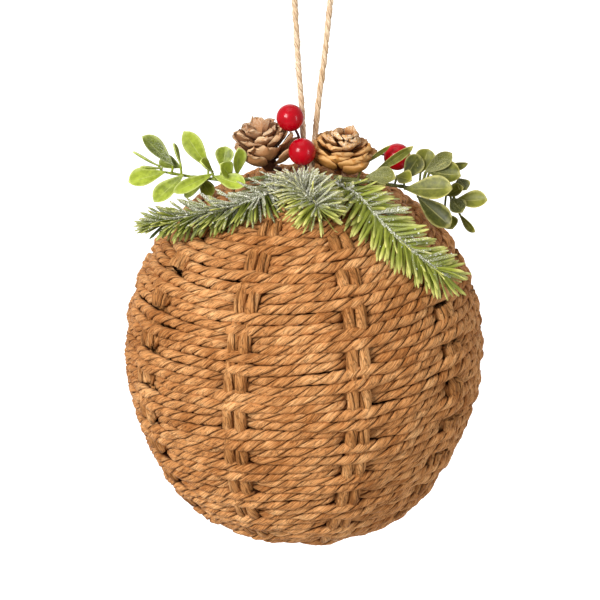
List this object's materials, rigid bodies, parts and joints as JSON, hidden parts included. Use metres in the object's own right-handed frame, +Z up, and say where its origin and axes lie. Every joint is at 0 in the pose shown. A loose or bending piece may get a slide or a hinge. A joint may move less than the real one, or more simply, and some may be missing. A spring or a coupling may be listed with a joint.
{
  "type": "woven jute rope ball ornament with pinecone pick",
  "caption": "Hollow ball woven of doubled jute rope, topped with small pinecones, red berries, boxwood and frosted fir sprigs, hung on a thin twine loop.",
  "frame": {"origin": "underside of the top of the twine loop, where a hook or twig carries the ornament", "axes": "+Z up, along the loop and the ball's axis; the greenery faces -Y; +X to its right as seen from the front"},
  "size_m": [0.1274, 0.1258, 0.2264],
  "materials": {
    "jute_rope": "twisted two-ply natural fibre rope, dry and slightly wrinkled, caramel tan",
    "pale_twine": "thin loosely twisted pale jute twine with stray fibres",
    "cone_brown": "dry open pinecone scales, brown with pale tan edges",
    "cone_golden": "dry open pinecone scales, golden brown with pale tan tips",
    "berry_red": "smooth glossy crimson coating",
    "berry_wire": "thin wire wrapped in dark red-brown paper",
    "leaf_green": "soft moulded leaves, bright yellow-green with paler edges",
    "leaf_sage": "soft moulded leaves, grey-green with cream edges and light frost",
    "fir_green": "soft moulded needles, green with pale tips and grainy white frost on top"
  },
  "bodies": {
    "root": {"weft_rope": "jute_rope", "hanger_twine": "pale_twine", "pinecone_left": "cone_brown", "pinecone_right": "cone_golden", "berry_top": "berry_red", "berry_middle": "berry_red", "berry_right": "berry_red", "berry_wire_top": "berry_wire", "berry_wire_middle": "berry_wire", "berry_wire_right": "berry_wire", "boxwood_sprig_left": "leaf_green", "boxwood_sprig_right": "leaf_sage", "fir_sprig_left": "fir_green", "fir_sprig_middle": "fir_green", "fir_sprig_right": "fir_green", "stake_1": "jute_rope", "stake_2": "jute_rope", "stake_3": "jute_rope", "stake_4": "jute_rope", "stake_5": "jute_rope", "stake_6": "jute_rope", "stake_7": "jute_rope", "stake_8": "jute_rope", "stake_9": "jute_rope"}
  },
  "joints": []
}
